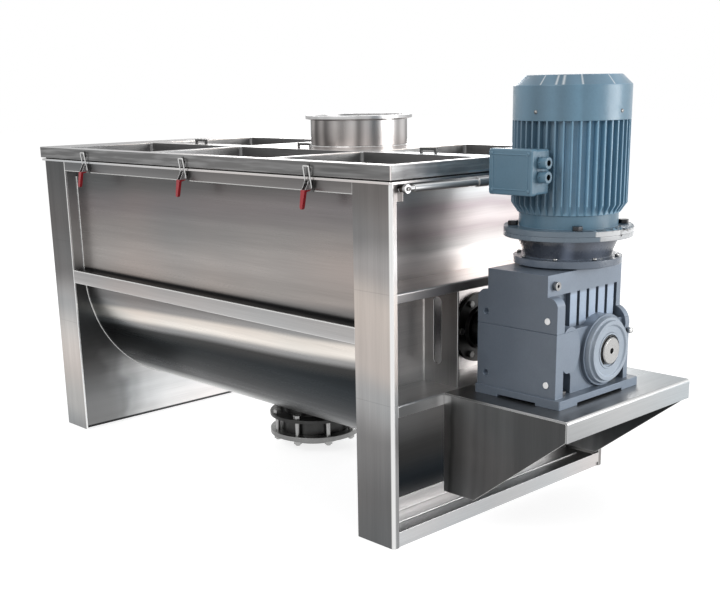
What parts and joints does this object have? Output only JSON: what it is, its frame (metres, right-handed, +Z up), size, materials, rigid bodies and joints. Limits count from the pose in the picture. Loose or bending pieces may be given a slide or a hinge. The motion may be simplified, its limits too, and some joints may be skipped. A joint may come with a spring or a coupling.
{
  "type": "horizontal ribbon mixer",
  "caption": "Horizontal trough mixer: stainless frame, hinged lid with toggle latches, double helical ribbon, bottom shutter valve, and a geared motor on an end shelf.",
  "frame": {"origin": "middle of the footprint of the whole machine, on the floor", "axes": "+X along the agitator shaft towards the drive, +Z up, -Y the front with the latches"},
  "size_m": [2.207, 1.08, 1.262],
  "materials": {
    "brushed_stainless": "brushed",
    "polished_stainless": "polished",
    "bright_steel": "bright",
    "dark_steel": "dark, oiled",
    "gear_paint": "semi-gloss enamel on castings",
    "adapter_paint": "satin",
    "motor_paint": "semi-gloss enamel",
    "core_steel": "laminated",
    "black_plastic": "matte",
    "seal_rubber": "matte"
  },
  "bodies": {
    "machine_frame": {"trough_shell": "brushed_stainless", "top_frame": "brushed_stainless", "end_plate_drive": "brushed_stainless", "end_plate_far": "brushed_stainless", "leg_drive_front": "brushed_stainless", "leg_drive_rear": "brushed_stainless", "legs_far": "brushed_stainless", "side_rails": "brushed_stainless", "top_bands": "brushed_stainless", "upper_ledges": "brushed_stainless", "mid_ledges": "brushed_stainless", "floor_trays": "brushed_stainless", "bearing_brackets": "brushed_stainless", "drive_shelf": "brushed_stainless", "shelf_gussets": "brushed_stainless", "shaft_housings": "brushed_stainless", "discharge_neck": "brushed_stainless", "valve_body": "brushed_stainless", "outlet_flange": "brushed_stainless", "hinge_lugs": "brushed_stainless", "latch_bases": "bright_steel", "housing_bolts": "dark_steel", "valve_seal": "seal_rubber", "valve_bolts": "dark_steel", "gearbox_lower_case": "gear_paint", "gearbox_upper_case": "gear_paint", "gearbox_covers": "gear_paint", "drive_fasteners": "dark_steel", "motor_adapter": "adapter_paint", "motor_end_shield": "motor_paint", "motor_frame": "motor_paint", "stator_core": "core_steel", "fan_cowl": "motor_paint", "terminal_box": "motor_paint", "terminal_box_lid": "motor_paint", "cable_glands": "black_plastic"},
    "agitator": {"main_shaft": "polished_stainless", "outer_ribbons": "polished_stainless", "inner_ribbons": "polished_stainless", "ribbon_arms": "polished_stainless", "shaft_coupling": "dark_steel", "hollow_shaft": "bright_steel", "stub_shaft": "bright_steel"},
    "rotor": {"motor_rotor": "bright_steel", "motor_fan": "black_plastic"},
    "lid": {"lid_panel": "brushed_stainless", "lid_inlet": "polished_stainless", "lid_gasket": "seal_rubber", "lid_handles": "brushed_stainless", "hinge_arms": "brushed_stainless", "latch_keepers": "brushed_stainless"},
    "strut_tube": {"strut_cylinder": "bright_steel"},
    "strut_piston": {"strut_rod": "bright_steel"},
    "shutter": {"valve_shutter": "brushed_stainless"},
    "latch_1": {"latch_lever_1": "bright_steel"},
    "latch_loop_1": {"latch_bail_1": "bright_steel"},
    "latch_2": {"latch_lever_2": "bright_steel"},
    "latch_loop_2": {"latch_bail_2": "bright_steel"},
    "latch_3": {"latch_lever_3": "bright_steel"},
    "latch_loop_3": {"latch_bail_3": "bright_steel"}
  },
  "joints": [
    {"name": "agitator_spin", "type": "hinge", "parent": "machine_frame", "child": "agitator", "pos_m": [0, 0, 0.535], "axis": [1, 0, 0], "continuous": true},
    {"name": "rotor_spin", "type": "hinge", "parent": "machine_frame", "child": "rotor", "pos_m": [0.8785, -0.009, 0.905], "axis": [0, 0, 1], "continuous": true},
    {"name": "lid_hinge", "type": "hinge", "parent": "machine_frame", "child": "lid", "pos_m": [-0.2055, 0.526, 1.03], "axis": [-1, 0, 0], "range_deg": [0, 80]},
    {"name": "strut_tilt", "type": "hinge", "parent": "machine_frame", "child": "strut_tube", "pos_m": [0.7045, -0.463, 0.988], "axis": [1, 0, 0], "range_deg": [0, 26]},
    {"name": "strut_extend", "type": "slide", "parent": "strut_tube", "child": "strut_piston", "axis": [0, 1, -0.0066], "range_m": [0, 0.37]},
    {"name": "shutter_turn", "type": "hinge", "parent": "machine_frame", "child": "shutter", "pos_m": [-0.2055, 0, 0.091], "axis": [0, 0, 1], "range_deg": [0, 30]},
    {"name": "latch_lever_1_swing", "type": "hinge", "parent": "machine_frame", "child": "latch_1", "pos_m": [-0.7905, -0.512, 0.99], "axis": [-1, 0, 0], "range_deg": [0, 120]},
    {"name": "latch_bail_1_swing", "type": "hinge", "parent": "latch_1", "child": "latch_loop_1", "pos_m": [-0.7905, -0.509, 0.977], "axis": [1, 0, 0], "range_deg": [0, 120]},
    {"name": "latch_lever_2_swing", "type": "hinge", "parent": "machine_frame", "child": "latch_2", "pos_m": [-0.2055, -0.512, 0.99], "axis": [-1, 0, 0], "range_deg": [0, 120]},
    {"name": "latch_bail_2_swing", "type": "hinge", "parent": "latch_2", "child": "latch_loop_2", "pos_m": [-0.2055, -0.509, 0.977], "axis": [1, 0, 0], "range_deg": [0, 120]},
    {"name": "latch_lever_3_swing", "type": "hinge", "parent": "machine_frame", "child": "latch_3", "pos_m": [0.3795, -0.512, 0.99], "axis": [-1, 0, 0], "range_deg": [0, 120]},
    {"name": "latch_bail_3_swing", "type": "hinge", "parent": "latch_3", "child": "latch_loop_3", "pos_m": [0.3795, -0.509, 0.977], "axis": [1, 0, 0], "range_deg": [0, 120]}
  ],
  "couplings": [
    {"joint": "rotor_spin", "follows": "agitator_spin", "ratio": 40},
    {"joint": "strut_tilt", "follows": "lid_hinge", "ratio": 0.32083},
    {"joint": "strut_extend", "follows": "lid_hinge", "m_per_rad": 0.26253},
    {"joint": "latch_bail_1_swing", "follows": "latch_lever_1_swing", "ratio": 1},
    {"joint": "latch_bail_2_swing", "follows": "latch_lever_2_swing", "ratio": 1},
    {"joint": "latch_bail_3_swing", "follows": "latch_lever_3_swing", "ratio": 1}
  ]
}
